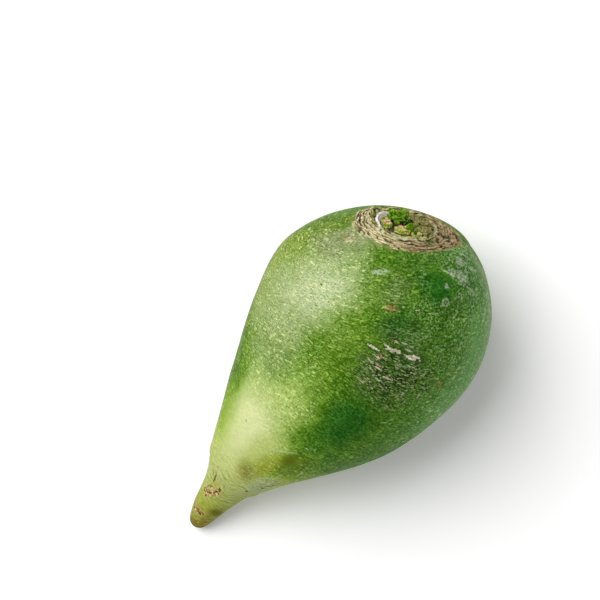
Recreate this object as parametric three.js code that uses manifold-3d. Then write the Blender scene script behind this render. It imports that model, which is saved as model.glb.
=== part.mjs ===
// A whole winter radish lying on its side, in millimetres, +Z up. The root grew
// as one body: a round belly, a neck that curves down into a short tail, and a
// corky crown where the leaves were cut off. The cut leaf stalks, the dried
// bases of older leaves, a papery sheath and the young leaves of the heart
// stand in the shallow hollow of the crown. The origin is the middle of the
// bounding box, on the surface that the radish lies on.

import * as THREE from "three";
import { mergeVertices } from "three/addons/utils/BufferGeometryUtils.js";
import ManifoldModule from "manifold-3d";

const wasm = await ManifoldModule();
wasm.setup();

// Driving dimensions of the root
const rootLength = 159.5;
const bellyRadius = 44.7;
const discRadius = 21;
const rimRadius = 13.3;
const hollowRadius = 12.3;
const hollowDepth = 2.6;
const shoulderDepth = 8;

// How finely the root is faceted
const roundSteps = 64;
const lengthSteps = 56;

// The centre line from the crown to the tip of the tail: the belly lies on the
// surface, the crown looks a little upwards and the tail hooks down to touch.
class BezierLine extends THREE.Curve {
  constructor(points) {
    super();
    this.points = points;
  }

  getPoint(share) {
    let points = this.points;
    while (points.length > 1) {
      const before = points;
      points = before.slice(1).map((point, i) => before[i].clone().lerp(point, share));
    }
    return points[0];
  }
}

const centreLine = new BezierLine([
  new THREE.Vector3(50, 16.3, 58.6),
  new THREE.Vector3(37.8, 9.6, 51.7),
  new THREE.Vector3(2, -20.3, 30),
  new THREE.Vector3(-23, 9.8, 49),
  new THREE.Vector3(-94.3, -3.1, 2.3),
]);

// Half of the outline, as distance from the crown and radius
const hollowOutline = [
  [hollowDepth, 0],
  [hollowDepth, 0.97 * hollowRadius],
  [0.8 * hollowDepth, hollowRadius],
];
const bodyOutline = [
  [0, rimRadius],
  [0.9, rimRadius + 1.6],
  [2.2, discRadius],
  [6, 28.6],
  [14, 36.9],
  [26, 43],
  [40, bellyRadius],
  [56, 42],
  [74, 37.1],
  [92, 29.3],
  [108, 21.3],
  [120, 15.9],
  [131, 10.8],
  [141, 7.9],
  [149, 6.1],
  [rootLength - 1.5, 3.4],
  [rootLength, 0],
];

// Where the root is fuller or flatter than round. around is in degrees from
// the left side of the crown (0) over its top (90), and a reach is how far
// the swelling carries in each direction.
const swellings = [
  { along: 14, around: 10, reachAlong: 16, reachAround: 60, height: 2.8 },
  { along: 14, around: 185, reachAlong: 16, reachAround: 60, height: -2.4 },
  { along: 66, around: 0, reachAlong: 24, reachAround: 70, height: 3.1 },
  { along: 136, around: 0, reachAlong: 11, reachAround: 80, height: -1 },
];

// What stands in the crown, in the crown's own frame: x to its left, y over
// its top and z outwards from the floor of the hollow. A wrap is a piece of
// leaf base that curves round the heart between two radii and two angles.
const seatGap = 0.3;
const wraps = [
  { name: "papery_sheath", kind: "sheath", inner: 10.6, outer: 11.4, from: -58, to: 28, height: 4.2 },
  { name: "leaf_stalk_left", kind: "stalk", inner: 6.3, outer: 10.1, from: -32, to: 40, height: 4 },
  { name: "leaf_stalk_front", kind: "stalk", inner: 5.6, outer: 10, from: 52, to: 96, height: 4.4 },
  { name: "leaf_stalk_low", kind: "stalk", inner: 5.8, outer: 9.4, from: 106, to: 138, height: 3.4 },
  { name: "leaf_stalk_back", kind: "stalk", inner: 5.8, outer: 9.8, from: 276, to: 316, height: 3.8 },
  { name: "old_base_upper", kind: "base", inner: 5.8, outer: 11.1, from: 148, to: 184, height: 3.6 },
  { name: "old_base_right", kind: "base", inner: 5.8, outer: 11.1, from: 190, to: 224, height: 4.1 },
  { name: "old_base_rear", kind: "base", inner: 5.8, outer: 11.1, from: 230, to: 266, height: 3.7 },
];

// The young leaves: an outer ring that leans outwards round an inner bud
const heart = { x: 0.4, y: -0.6 };
const outerLeaves = { count: 6, radius: 3.5, length: 7.4, width: 3, thickness: 0.9, lean: 14 };
const innerLeaves = { count: 3, radius: 1.35, length: 8.6, width: 1.9, thickness: 0.8, lean: 3 };

const materials = {
  skin: new THREE.MeshStandardMaterial({ color: 0x7f9c52, roughness: 0.45, metalness: 0 }),
  stalk: new THREE.MeshStandardMaterial({ color: 0xb4b06a, roughness: 0.7, metalness: 0 }),
  base: new THREE.MeshStandardMaterial({ color: 0x7a6a40, roughness: 0.85, metalness: 0 }),
  sheath: new THREE.MeshStandardMaterial({ color: 0xd9d8c8, roughness: 0.7, metalness: 0 }),
  leaf: new THREE.MeshStandardMaterial({ color: 0x5f8a1e, roughness: 0.55, metalness: 0 }),
};

// Shared vertices become one, and the slivers that this leaves at a pole go
function weld(geometry) {
  geometry.deleteAttribute("normal");
  geometry.deleteAttribute("uv");
  const welded = mergeVertices(geometry);
  const corners = welded.index.array;
  const kept = [];
  for (let i = 0; i < corners.length; i += 3) {
    const [a, b, c] = [corners[i], corners[i + 1], corners[i + 2]];
    if (a !== b && b !== c && c !== a) kept.push(a, b, c);
  }
  welded.setIndex(kept);
  return welded;
}

function toSolid(geometry) {
  return new wasm.Manifold(
    new wasm.Mesh({
      numProp: 3,
      vertProperties: new Float32Array(geometry.attributes.position.array),
      triVerts: new Uint32Array(geometry.index.array),
    }),
  );
}

function toGeometry(solid) {
  const mesh = solid.getMesh();
  const geometry = new THREE.BufferGeometry();
  geometry.setAttribute("position", new THREE.BufferAttribute(mesh.vertProperties, 3));
  geometry.setIndex(new THREE.BufferAttribute(mesh.triVerts, 1));
  geometry.computeVertexNormals();
  return geometry;
}

// The centre line's point at a distance from the crown, with the direction
// along it and the two directions across it
function lineFrame(along) {
  const share = THREE.MathUtils.clamp(along / rootLength, 0, 1);
  const point = centreLine.getPointAt(share);
  const tangent = centreLine.getTangentAt(share);
  const left = new THREE.Vector3().crossVectors(tangent, new THREE.Vector3(0, 0, 1)).normalize();
  const top = new THREE.Vector3().crossVectors(left, tangent);
  return { point, tangent, left, top };
}

// None of them reaches the flat crown: they come in over the shoulder
function swellingAt(along, around) {
  let total = 0;
  for (const bump of swellings) {
    const turn = THREE.MathUtils.euclideanModulo(around - bump.around + 180, 360) - 180;
    const fade = Math.exp(-(((along - bump.along) / bump.reachAlong) ** 2) - (turn / bump.reachAround) ** 2);
    total += bump.height * fade;
  }
  return total * THREE.MathUtils.smoothstep(along, hollowDepth, shoulderDepth);
}

// The root is turned straight on a lathe and then bent onto its centre line
function makeRoot() {
  const toVector = ([along, radius]) => new THREE.Vector2(radius, -along);
  const body = new THREE.SplineCurve(bodyOutline.map(toVector)).getPoints(lengthSteps);
  body.forEach((point) => (point.x = Math.max(point.x, 0)));
  const outline = [...hollowOutline.map(toVector), ...body].reverse();
  const geometry = weld(new THREE.LatheGeometry(outline, roundSteps));

  const places = geometry.attributes.position;
  const vertex = new THREE.Vector3();
  for (let i = 0; i < places.count; i++) {
    vertex.fromBufferAttribute(places, i);
    const along = -vertex.y;
    const turn = Math.atan2(vertex.x, vertex.z);
    const radius = Math.hypot(vertex.x, vertex.z) + swellingAt(along, THREE.MathUtils.radToDeg(turn));
    const { point, left, top } = lineFrame(along);
    vertex.copy(point).addScaledVector(left, radius * Math.cos(turn));
    vertex.addScaledVector(top, radius * Math.sin(turn));
    places.setXYZ(i, vertex.x, vertex.y, vertex.z);
  }
  return toGeometry(toSolid(geometry).subtract(toSolid(belowSurface())));
}

// Everything under the surface it lies on, which cuts the small flat spot
function belowSurface() {
  const size = 2 * rootLength;
  const block = weld(new THREE.BoxGeometry(size, size, size));
  block.translate(0, 0, -size / 2);
  return block;
}

// A piece of leaf base: a bent wall standing on the floor of the hollow
function makeWrap({ inner, outer, from, to, height }) {
  const start = THREE.MathUtils.degToRad(from);
  const end = THREE.MathUtils.degToRad(to);
  const shape = new THREE.Shape();
  shape.absarc(0, 0, outer, start, end, false);
  shape.absarc(0, 0, inner, end, start, true);
  const options = { depth: height - seatGap, bevelEnabled: false, curveSegments: 7 };
  return new THREE.ExtrudeGeometry(shape, options).translate(0, 0, seatGap);
}

// A young leaf: a flat pointed body that leans and curls away from the heart
function makeLeaf({ length, width, thickness, lean }) {
  const blade = new THREE.SphereGeometry(0.5, 10, 8);
  blade.rotateX(Math.PI / 2);
  blade.scale(thickness, width, length);
  blade.translate(0, 0, length / 2);
  const places = blade.attributes.position;
  for (let i = 0; i < places.count; i++) {
    const climb = places.getZ(i) / length;
    places.setX(i, places.getX(i) + 0.12 * length * climb ** 2);
  }
  blade.rotateY(THREE.MathUtils.degToRad(lean));
  return blade;
}

function makeRing(leaves, name, firstTurn) {
  return Array.from({ length: leaves.count }, (_, i) => {
    const turn = firstTurn + (i * 2 * Math.PI) / leaves.count;
    const leaf = new THREE.Mesh(makeLeaf(leaves), materials.leaf);
    leaf.name = `${name}_${i + 1}`;
    leaf.rotation.z = turn;
    leaf.position.set(
      heart.x + leaves.radius * Math.cos(turn),
      heart.y + leaves.radius * Math.sin(turn),
      2 * seatGap,
    );
    return leaf;
  });
}

const root = new THREE.Mesh(makeRoot(), materials.skin);
root.name = "root";

const crown = new THREE.Group();
const { point, tangent, left, top } = lineFrame(hollowDepth);
crown.matrix.makeBasis(left, top, tangent.clone().negate()).setPosition(point);
crown.matrix.decompose(crown.position, crown.quaternion, crown.scale);
for (const wrap of wraps) {
  const piece = new THREE.Mesh(makeWrap(wrap), materials[wrap.kind]);
  piece.name = wrap.name;
  crown.add(piece);
}
crown.add(...makeRing(outerLeaves, "young_leaf", 0.3));
crown.add(...makeRing(innerLeaves, "bud_leaf", 0.8));

const radish = new THREE.Group();
radish.add(root, crown);
const middle = new THREE.Box3().setFromObject(root).getCenter(new THREE.Vector3());
radish.position.set(-middle.x, -middle.y, 0);

export default radish;
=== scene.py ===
import math

import bpy
import numpy as np
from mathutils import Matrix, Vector, noise


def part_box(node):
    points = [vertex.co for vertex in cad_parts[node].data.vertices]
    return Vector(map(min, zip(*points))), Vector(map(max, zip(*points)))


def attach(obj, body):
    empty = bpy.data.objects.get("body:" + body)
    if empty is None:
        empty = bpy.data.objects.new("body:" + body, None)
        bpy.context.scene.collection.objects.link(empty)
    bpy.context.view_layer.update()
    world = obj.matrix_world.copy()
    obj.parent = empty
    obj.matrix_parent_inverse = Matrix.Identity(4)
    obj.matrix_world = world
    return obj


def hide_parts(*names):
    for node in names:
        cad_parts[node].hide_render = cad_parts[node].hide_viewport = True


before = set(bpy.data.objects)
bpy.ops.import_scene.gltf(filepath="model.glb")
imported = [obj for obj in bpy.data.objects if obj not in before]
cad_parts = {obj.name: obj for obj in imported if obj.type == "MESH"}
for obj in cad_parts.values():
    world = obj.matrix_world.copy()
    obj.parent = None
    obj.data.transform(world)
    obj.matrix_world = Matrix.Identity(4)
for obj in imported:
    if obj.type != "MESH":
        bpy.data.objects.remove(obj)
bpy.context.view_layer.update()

mm = 0.001  # lengths below are in millimetres until a mesh is finished


def startClean():
    if bpy.context.object and bpy.context.object.mode != "OBJECT":
        bpy.ops.object.mode_set(mode="OBJECT")
    bpy.ops.object.select_all(action="DESELECT")


def smoothStep(low, high, value):
    share = np.clip((value - low) / (high - low), 0, 1)
    return share * share * (3 - 2 * share)


def noiseAt(points, scale, seed=0.0, octaves=3):
    shift = Vector((17.3 * seed, -9.1 * seed, 5.7 * seed))
    return np.array([noise.fractal(Vector(p) + shift, 1.0, 2.0, octaves) for p in points / scale])


def getPoints(mesh):
    flat = np.empty(3 * len(mesh.vertices))
    mesh.vertices.foreach_get("co", flat)
    return flat.reshape(-1, 3)


def setPoints(mesh, points):
    mesh.vertices.foreach_set("co", np.ascontiguousarray(points, dtype=np.float32).ravel())
    mesh.update()


def getValues(mesh, name):
    values = np.empty(len(mesh.vertices))
    mesh.attributes[name].data.foreach_get("value", values)
    return values


def addValues(mesh, name, values):
    layer = mesh.attributes.get(name) or mesh.attributes.new(name, "FLOAT", "POINT")
    layer.data.foreach_set("value", np.ascontiguousarray(values, dtype=np.float32))


def addVectors(mesh, name, vectors):
    layer = mesh.attributes.new(name, "FLOAT_VECTOR", "POINT")
    layer.data.foreach_set("vector", np.ascontiguousarray(vectors, dtype=np.float32).ravel())


def addColours(mesh, name, colours):
    layer = mesh.attributes.new(name, "FLOAT_COLOR", "POINT")
    filled = np.ones((len(colours), 4), np.float32)
    filled[:, :3] = colours
    layer.data.foreach_set("color", filled.ravel())


rootShape = {
    "length": 159.5,
    "bellyRadius": 44.7,
    "discRadius": 21,
    "rimRadius": 13.3,
    "hollowRadius": 12.3,
    "hollowDepth": 2.6,
    "shoulderDepth": 8,
    "aroundSteps": 336,
}
centrePoints = [  # the bent centre line, from the crown to the tip of the tail
    (50, 16.3, 58.6), (37.8, 9.6, 51.7), (2, -20.3, 30), (-23, 9.8, 49), (-94.3, -3.1, 2.3),
]
hollowOutline = [  # distance along from the crown, and radius
    (rootShape["hollowDepth"], 0),
    (rootShape["hollowDepth"], 0.97 * rootShape["hollowRadius"]),
    (0.8 * rootShape["hollowDepth"], rootShape["hollowRadius"]),
]
bodyOutline = [
    (0, rootShape["rimRadius"]), (0.9, rootShape["rimRadius"] + 1.6), (2.2, rootShape["discRadius"]),
    (6, 28.6), (14, 36.9), (26, 43), (40, rootShape["bellyRadius"]), (56, 42), (74, 37.1), (92, 29.3),
    (108, 21.3), (120, 15.9), (131, 10.8), (141, 7.9), (149, 6.1),
    (rootShape["length"] - 1.5, 3.4), (rootShape["length"], 0),
]
swellings = [  # along, around in degrees, how far it carries along and around, height
    (14, 10, 16, 60, 2.8), (14, 185, 16, 60, -2.4), (66, 0, 24, 70, 3.1), (136, 0, 11, 80, -1),
]
ringSpacing = [  # distance along the outline from the crown's middle, and the space between rings there
    (0, 0.7), (8, 0.6), (12, 0.24), (23, 0.24), (30, 0.8), (46, 1.4), (136, 1.35), (152, 0.52), (205, 0.5),
]


def splinePoints(points, perSpan):
    ends = np.array([points[0], *points, points[-1]], float)
    shares = np.linspace(0, 1, perSpan, endpoint=False)[:, None]
    spans = []
    for before, start, stop, after in zip(ends, ends[1:], ends[2:], ends[3:]):
        leave, arrive = (stop - before) / 2, (after - start) / 2
        cubic = 2 * (start - stop) + leave + arrive
        square = 3 * (stop - start) - 2 * leave - arrive
        spans.append(((cubic * shares + square) * shares + leave) * shares + start)
    return np.vstack([*spans, ends[-1:]])


def outlineRings():
    body = splinePoints(bodyOutline, 40)
    body[:, 1] = np.maximum(body[:, 1], 0)
    line = np.vstack([hollowOutline, body])
    reach = np.concatenate([[0], np.cumsum(np.linalg.norm(np.diff(line, axis=0), axis=1))])
    places, spacing = zip(*ringSpacing)
    stops = [0.0]
    while stops[-1] < reach[-1]:
        stops.append(stops[-1] + np.interp(stops[-1], places, spacing))
    stops = np.array(stops) * reach[-1] / stops[-1]
    rings = np.column_stack([np.interp(stops, reach, line[:, i]) for i in range(2)])
    return stops, rings


def centreLine():
    points = np.array(centrePoints, float)
    share = np.linspace(0, 1, 2001)[:, None]

    def bezier(controls):
        count = len(controls) - 1
        weights = [math.comb(count, i) * share**i * (1 - share) ** (count - i) for i in range(count + 1)]
        return sum(weight * control for weight, control in zip(weights, controls))

    line = bezier(points)
    tangents = bezier(np.diff(points, axis=0))
    tangents /= np.linalg.norm(tangents, axis=1)[:, None]
    reach = np.concatenate([[0], np.cumsum(np.linalg.norm(np.diff(line, axis=0), axis=1))])
    return reach / reach[-1] * rootShape["length"], line, tangents


centreReach, centreSpots, centreTangents = centreLine()


def lineFrames(along):
    spots = np.column_stack([np.interp(along, centreReach, centreSpots[:, i]) for i in range(3)])
    tangents = np.column_stack([np.interp(along, centreReach, centreTangents[:, i]) for i in range(3)])
    tangents /= np.linalg.norm(tangents, axis=1)[:, None]
    lefts = np.cross(tangents, (0, 0, 1))
    lefts /= np.linalg.norm(lefts, axis=1)[:, None]
    return spots, tangents, lefts, np.cross(lefts, tangents)


def bend(straight):
    spots, tangents, lefts, tops = lineFrames(-straight[:, 2])
    # beyond either end the line goes straight on
    over = np.minimum(-straight[:, 2], 0) + np.maximum(-straight[:, 2] - rootShape["length"], 0)
    return spots + over[:, None] * tangents + straight[:, :1] * lefts + straight[:, 1:2] * tops


def swellingAt(along, around):
    total = np.zeros(len(along))
    for place, side, reachAlong, reachAround, height in swellings:
        turn = (around - side + 180) % 360 - 180
        total += height * np.exp(-(((along - place) / reachAlong) ** 2) - (turn / reachAround) ** 2)
    return total * smoothStep(rootShape["hollowDepth"], rootShape["shoulderDepth"], along)


def makeRootBlank(stops, rings):
    startClean()
    bpy.ops.mesh.primitive_plane_add(size=1, location=(0, 0, 0))
    piece = bpy.context.object
    piece.name = "radish_root"
    bpy.ops.object.mode_set(mode="EDIT")
    bpy.ops.mesh.merge(type="CENTER")
    bpy.ops.transform.translate(value=(rings[0, 1], 0, -rings[0, 0]))
    for step in np.diff(rings, axis=0):
        bpy.ops.mesh.extrude_vertices_move(TRANSFORM_OT_translate={"value": (step[1], 0, -step[0])})
    bpy.ops.object.mode_set(mode="OBJECT")
    addValues(piece.data, "reach", stops)  # kept by the spin
    bpy.ops.object.mode_set(mode="EDIT")
    bpy.ops.mesh.select_all(action="SELECT")
    bpy.ops.mesh.spin(steps=rootShape["aroundSteps"], angle=math.tau, center=(0, 0, 0), axis=(0, 0, 1))
    bpy.ops.mesh.select_all(action="SELECT")
    bpy.ops.mesh.remove_doubles(threshold=0.0005)
    bpy.ops.mesh.normals_make_consistent(inside=False)
    bpy.ops.object.mode_set(mode="OBJECT")
    return piece


crownRelief = {
    "corkCentre": (-1.8, 0.2),  # the corky disc sits a little to the crown's right
    "corkReach": 20.6,
    "corkFlat": 1.9,  # and is flatter at its lower right
    "corkBack": 2.3,  # and at the back, where a strip of skin stands round it
    "rimCentre": (0.9, 0),
    "rimReach": 13.7,
    "ridgeSpacing": 1.3,
    "ridgeDepth": 1.1,
    "rimHeight": 0.5,
    "floorFill": 1.5,  # old tissue fills the hollow nearly up to its rim
    "scarSpot": (-10.4, 9.6),  # the green dip of a fallen leaf
    "scarReach": 2.1,
    "budSpot": (11.2, -10.6),  # a small green shoot out on the cork
    "budReach": 1.3,
}
tailRelief = {
    "from": 112,
    "wrinkleSpacing": 1.8,
    "wrinkleDepth": 0.2,
}
tailScars = [  # along, around, reach along, reach around in mm, depth
    (137.6, 52, 1.5, 1.4, 0.35), (137.8, 61, 1.4, 1.5, 0.4), (136.6, 70, 1.5, 1.5, 0.5),
    (135.4, 79, 1.5, 1.5, 0.45), (133.8, 87, 1.5, 1.4, 0.4), (131.2, 89, 1, 0.9, 0.3),
    (133.4, 68, 1.1, 0.9, 0.35), (148.9, 34, 0.8, 1.2, 0.3), (148.9, 50, 1.2, 1.3, 0.35),
    (148.7, 66, 1.4, 1.4, 0.45), (148.2, 84, 1.2, 1.1, 0.4), (150.5, 230, 1.2, 1.6, 0.6),
    (131, 250, 1, 3.4, 0.6),
]
skinTones = {
    "sage": "93a26f", "paleSageSheen": "a9b68e", "moss": "7b9036", "leaf": "527822", "grass": "59851c",
    "deep": "3e680e", "dark": "366404", "blueGreenSheen": "689849", "blueSageSheen": "78aa62", "dull": "486820",
    "mistSheen": "8ca880", "cream": "d6dda0", "straw": "bdc974", "lime": "84a22e", "bright": "5c8008",
    "olive": "98a232", "fern": "6f9132", "oliveGreen": "6a840a", "hay": "b2bd6a", "tan": "9a9440",
    "brown": "84721a", "meadow": "8aa64e", "ashen": "868f68", "wet": "647202", "stone": "6c8452",
    "pine": "507c34", "greyHay": "a6b68a", "tanOlive": "8c8e42", "tipOlive": "6a6e0c", "hayGreen": "9ca542",
}
lengthTones = [  # distance from the crown, and the tone that the skin has there all round
    (0, "leaf"), (70, "leaf"), (88, "grass"), (104, "lime"), (116, "hay"), (128, "hay"),
    (142, "hayGreen"), (157, "tan"), (159.5, "brown"),
]
skinPatches = [  # around, along, reach around, reach along, tone, strength
    (8, 38, 30, 60, "moss", 1.0),  # the flank to the left of the crown
    (45, 36, 35, 60, "sage", 1.0),  # the pale belly, pale skin with a painted sheen on it, and its palest place, where the painted sheen is strongest
    (55, 26, 18, 20, "paleSageSheen", 0.9),
    (30, 5, 30, 5, "ashen", 0.8),  # dry skin beside the crown
    (155, 40, 32, 48, "blueGreenSheen", 1.0),  # the flank to the right: green skin with a painted bluish sheen, and a painted pale rim of reflected light along its edge
    (158, 32, 18, 30, "blueSageSheen", 0.8),
    (172, 30, 15, 40, "mistSheen", 0.8),
    (147, 9, 22, 9, "pine", 0.9),
    (85, 45, 20, 45, "fern", 0.6),  # the green middle
    (90, 14, 12, 9, "stone", 0.8),
    (118, 10, 16, 6, "dark", 0.9),
    (97, 27, 14, 8, "deep", 1.0),
    (108, 44, 18, 12, "dull", 0.9),
    (112, 70, 15, 14, "dark", 0.9),
    (80, 75, 20, 16, "meadow", 0.7),
    (70, 98, 32, 24, "cream", 1.0),  # the cream waist, pale skin with a soft painted highlight on it
    (95, 100, 15, 16, "straw", 0.7),
    (25, 88, 18, 15, "bright", 0.9),
    (30, 102, 14, 11, "lime", 0.6),
    (108, 104, 11, 9, "olive", 0.8),  # stains below the waist
    (123, 97, 12, 9, "oliveGreen", 0.7),
    (114, 96, 7, 4, "wet", 1.0),
    (126, 116, 16, 9, "greyHay", 0.8),
    (100, 113, 14, 5, "tanOlive", 0.9),
    (124, 143, 30, 5, "tipOlive", 0.9),  # the tail
    (70, 130, 16, 5, "tan", 0.6),
    (110, 154, 60, 6, "tan", 0.4),
    (215, 30, 26, 34, "moss", 0.7),  # from here on, the sides that lie away from the light
    (262, 22, 30, 22, "sage", 0.8),
    (300, 52, 28, 30, "moss", 0.9),
    (250, 66, 26, 20, "grass", 0.8),
    (330, 24, 22, 24, "sage", 0.7),
    (292, 94, 50, 22, "straw", 0.9),
    (210, 102, 30, 14, "lime", 0.8),
    (345, 104, 26, 16, "straw", 0.8),
]
skinRegions = {  # around, along, reach around, reach along, where the fade starts and ends, strength
    "waist": (66, 102, 50, 25, 0.3, 1.2, 1.0),  # smooth and pale, with few flecks
    "darkSpot": (116, 71, 20, 16, 0.3, 1.3, 0.4),
    "shoulderSpot": (121, 10, 12, 7, 0.4, 1.3, 0.5),
    "wetSpot": (114.5, 95.8, 7, 4, 0.6, 1.3, 0.9),
    "scuff": (111, 45, 21, 12, 0.45, 1.25, 1.0),
    "scuffAbove": (100, 31, 15, 10, 0.3, 1.2, 0.45),
    "frost": (144, 10, 48, 44, 0.2, 1.3, 1.0),
}
skinLook = {
    "roughness": 0.46,
    "specular": 0.03,
    "dashTone": "dfe9b4",
    "scarRim": "e4e2c2",
    "scarHeart": "9a6248",
    "scarShadow": "1c3a08",
    "scarDull": "a8a078",
    "frost": "b4c8a6",
    "rubGround": "183604",
    "rubFleck": "b9c48a",
    "blotch": "b9c9a8",
    "streak": "c9d6b0",
    "ring": "b4c3a0",
    "ringHeart": "a08568",
    "rustDeep": "9c6a42",
    "rustPale": "d8c29e",
    "nick": "45441a",
    "corkCrumb": "efe6c4",
}
tailTones = {
    "foldShade": "56701e", "crest": "e4e8b4", "tip": "7c6a1c", "lip": "b3a869",
    "scar": "a07238", "scarCrumb": "dccb98", "scarPit": "553813",
}
corkTones = {
    "fringe": "96896c",
    "valleyAndShade": "1d1508", "middle": "7d6e3e", "crest": "f0e8bc", "brown": "a9946a",
    "inner": "ccd08a", "hollowShade": "24260a", "moss": "6f7c2c", "rim": "cfdab0", "bud": "5f9212",
}


def tone(code):
    return np.array([int(code[i : i + 2], 16) for i in (0, 2, 4)]) / 255


def linear(colours):
    return np.where(colours <= 0.04045, colours / 12.92, ((colours + 0.055) / 1.055) ** 2.4)


def blend(colours, code, weight):
    return colours + (tone(code) - colours) * np.asarray(weight)[..., None]


def regionAt(name, around, along, drift=0.0):
    side, place, reachAround, reachAlong, low, high, strength = skinRegions[name]
    turn = (around - side + 180) % 360 - 180
    far = np.hypot(turn / reachAround, (along - place) / reachAlong) + drift
    return strength * (1 - smoothStep(low, high, far))


def paintSkin(straight, along, around):
    driftAround = 7 * noiseAt(straight, 16, 1, 2)
    driftAlong = 5 * noiseAt(straight, 14, 2, 2)
    places = [place for place, name in lengthTones]
    tones = np.array([tone(skinTones[name]) for place, name in lengthTones])
    colours = np.column_stack([np.interp(along + driftAlong, places, tones[:, i]) for i in range(3)])
    for side, place, reachAround, reachAlong, name, strength in skinPatches:
        loose = min(1, reachAround / 25)  # a small patch stays where it is put
        turn = (around + loose * driftAround - side + 180) % 360 - 180
        far = np.hypot(turn / reachAround, (along + loose * driftAlong - place) / reachAlong)
        colours = blend(colours, skinTones[name], strength * (1 - smoothStep(0.2, 1.3, far)))
    return colours


def crownDisc(straight, along):
    flat = straight[:, :2]
    corkAway = np.hypot(*(flat - crownRelief["corkCentre"]).T)
    rimAway = np.hypot(*(flat - crownRelief["rimCentre"]).T)
    turn = np.arctan2(straight[:, 1], straight[:, 0])
    near = along < 9
    spots = straight[near]
    broad, middling, small, streaks = np.zeros((4, len(straight)))
    broad[near] = noiseAt(spots, 8, 3, 2)
    middling[near] = noiseAt(spots, 2.6, 4, 2)
    small[near] = noiseAt(spots, 0.8, 5, 2)
    rings = np.column_stack([1.5 * corkAway, 4.6 * np.cos(turn), 4.6 * np.sin(turn)])
    streaks[near] = noiseAt(rings[near] + 0.4 * broad[near, None], 1.1, 6, 3)
    flatSide = np.exp(-(((np.degrees(turn) - 128) / 30) ** 2))
    backSide = np.exp(-(((np.degrees(turn) + 98) / 62) ** 2))
    calmSide = np.exp(-(((np.degrees(turn) % 360 - 172) / 52) ** 2))
    edge = crownRelief["corkReach"] - crownRelief["corkFlat"] * flatSide
    edge = edge - crownRelief["corkBack"] * backSide + 0.6 * broad + 1.2 * middling + 0.5 * small
    cork = (1 - smoothStep(-0.4, 0.4, corkAway - edge)) * (along < 6)
    phase = corkAway / crownRelief["ridgeSpacing"] + 1.5 * broad + 0.5 * middling
    ridge = np.abs(np.sin(np.pi * phase)) ** 0.6
    ridge = np.clip(ridge + 0.55 * streaks, 0, 1.25)
    ridge = ridge + 0.65 * calmSide * (np.clip(0.82 + 1.1 * middling + 0.6 * small, 0, 1.1) - ridge)
    depth = crownRelief["ridgeDepth"] * np.clip(0.75 + 0.8 * middling, 0.2, 1.1)
    outside = smoothStep(0.1, 1.0, rimAway - crownRelief["rimReach"])
    inside = smoothStep(0.3, 1.0, crownRelief["rimReach"] - rimAway)
    rim = np.exp(-(((rimAway - crownRelief["rimReach"] + 0.5 * middling) / 0.45) ** 2))
    rise = cork * outside * (depth * (ridge - 1) + 0.35 * (1 - backSide) + 0.14 * small)
    rise += cork * inside * (0.55 * depth * (ridge - 1) + 0.25 * small)
    rise += crownRelief["rimHeight"] * rim * (0.8 + 0.5 * middling)
    spot = np.hypot(*(flat - crownRelief["scarSpot"]).T) / crownRelief["scarReach"]
    scar = (1 - smoothStep(0.5, 1.15, spot + 0.4 * small)) * (along < 6)
    spot = np.hypot(*(flat - crownRelief["budSpot"]).T) / crownRelief["budReach"]
    bud = (1 - smoothStep(0.4, 1.1, spot + 0.5 * small)) * (along < 6)
    fill = crownRelief["floorFill"] * (1 - smoothStep(11.8, 13.4, rimAway)) * (along < 6)
    return rise - 0.8 * scar + 0.7 * bud * (0.8 + small), {
        "cork": cork, "ridge": np.clip(ridge + 0.3 * small, 0, 1),
        "inside": inside * cork, "rim": rim * cork,
        "fringe": (1 - smoothStep(0.0, 1.8, corkAway - edge + 1.2 * small)) * (along < 6),
        "scar": scar, "bud": bud, "broad": broad, "small": small, "middling": middling, "streaks": streaks,
        "fill": fill, "grain": np.column_stack([3.2 * phase, 7 * np.cos(turn), 7 * np.sin(turn)]),
    }


def paintCrown(colours, disc, straight):
    side = smoothStep(-12, 10, straight[:, 0] + 10 * disc["broad"])  # browner towards the crown's right
    crest = blend(tone(corkTones["brown"]), corkTones["crest"], 0.2 + 0.8 * side)
    # the valleys between the cork's ridges are dark partly in the cork's own colour and partly as painted
    # shade
    middle, valleyAndShade = tone(corkTones["middle"]), tone(corkTones["valleyAndShade"])
    cork = valleyAndShade + (middle - valleyAndShade) * smoothStep(0.3, 0.75, disc["ridge"])[:, None]
    worn = np.clip(smoothStep(0.6, 0.98, disc["ridge"]) * (0.95 + disc["streaks"]), 0, 1)
    cork = cork + (crest - cork) * worn[:, None]
    mossy = smoothStep(0.05, 0.35, disc["middling"]) * (1 - disc["ridge"])
    cork = blend(cork, corkTones["moss"], 0.55 * side * mossy)
    inner = np.clip(0.75 + 0.7 * disc["streaks"], 0, 1) * smoothStep(0.3, 0.8, disc["ridge"])
    cork = blend(cork, corkTones["inner"], 0.85 * disc["inside"] * inner)
    # the middle of the hollow, among the leaf bases and young leaves, is painted nearly black as shade
    hollowShade = 1 - smoothStep(7.2, 9.6, np.hypot(straight[:, 0], straight[:, 1]))
    cork = blend(cork, corkTones["hollowShade"], 0.85 * hollowShade * disc["inside"])
    cork = blend(cork, corkTones["rim"], 0.9 * disc["rim"] * smoothStep(0.25, 0.6, disc["ridge"]))
    colours = blend(colours, corkTones["fringe"], 0.5 * disc["fringe"])
    colours = colours + (cork - colours) * disc["cork"][:, None]
    colours = blend(colours, skinTones["dark"], 0.85 * disc["scar"])
    colours = blend(colours, corkTones["bud"], disc["bud"])
    return np.clip(colours, 0.02, 1)


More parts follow.
